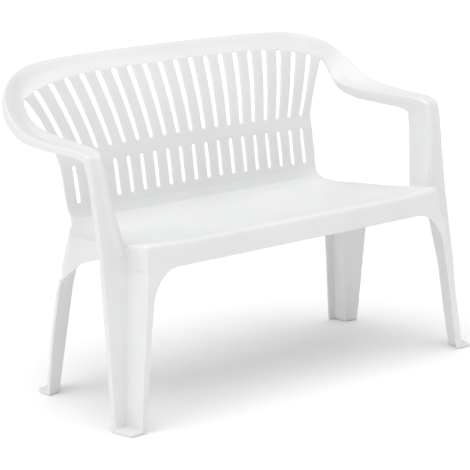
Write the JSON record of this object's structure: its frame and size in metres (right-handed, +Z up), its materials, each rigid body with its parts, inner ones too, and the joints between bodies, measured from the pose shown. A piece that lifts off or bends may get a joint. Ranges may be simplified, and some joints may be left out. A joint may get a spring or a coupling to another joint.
{
  "type": "garden bench",
  "caption": "White moulded plastic two-seat garden bench with a slatted back, curved top rail and armrests.",
  "frame": {"origin": "on the floor under the middle of the bench", "axes": "+X along the width, +Z up; the sitter faces -Y, so the back is on the +Y side"},
  "size_m": [1.0362, 0.5502, 0.7711],
  "materials": {
    "white_plastic": "satin"
  },
  "bodies": {
    "root": {"top_rail": "white_plastic", "left_arm_bow": "white_plastic", "right_arm_bow": "white_plastic", "left_armrest": "white_plastic", "right_armrest": "white_plastic", "left_arm_post": "white_plastic", "right_arm_post": "white_plastic", "mid_band": "white_plastic", "lower_back": "white_plastic", "seat_panel": "white_plastic", "front_apron": "white_plastic", "rear_apron": "white_plastic", "left_side_apron": "white_plastic", "right_side_apron": "white_plastic", "left_post_root": "white_plastic", "right_post_root": "white_plastic", "front_left_foot": "white_plastic", "front_right_foot": "white_plastic", "rear_left_foot": "white_plastic", "rear_right_foot": "white_plastic", "slat_01": "white_plastic", "slat_02": "white_plastic", "slat_03": "white_plastic", "slat_04": "white_plastic", "slat_05": "white_plastic", "slat_06": "white_plastic", "slat_07": "white_plastic", "slat_08": "white_plastic", "slat_09": "white_plastic", "slat_10": "white_plastic", "slat_11": "white_plastic", "slat_12": "white_plastic", "slat_13": "white_plastic", "slat_14": "white_plastic", "slat_15": "white_plastic", "slat_16": "white_plastic", "slat_17": "white_plastic", "slat_18": "white_plastic", "slat_19": "white_plastic", "slat_20": "white_plastic", "front_left_leg_outer": "white_plastic", "front_left_leg_web": "white_plastic", "front_left_leg_inner": "white_plastic", "front_right_leg_outer": "white_plastic", "front_right_leg_web": "white_plastic", "front_right_leg_inner": "white_plastic", "rear_left_leg_outer": "white_plastic", "rear_left_leg_web": "white_plastic", "rear_left_leg_inner": "white_plastic", "rear_right_leg_outer": "white_plastic", "rear_right_leg_web": "white_plastic", "rear_right_leg_inner": "white_plastic"}
  },
  "joints": []
}
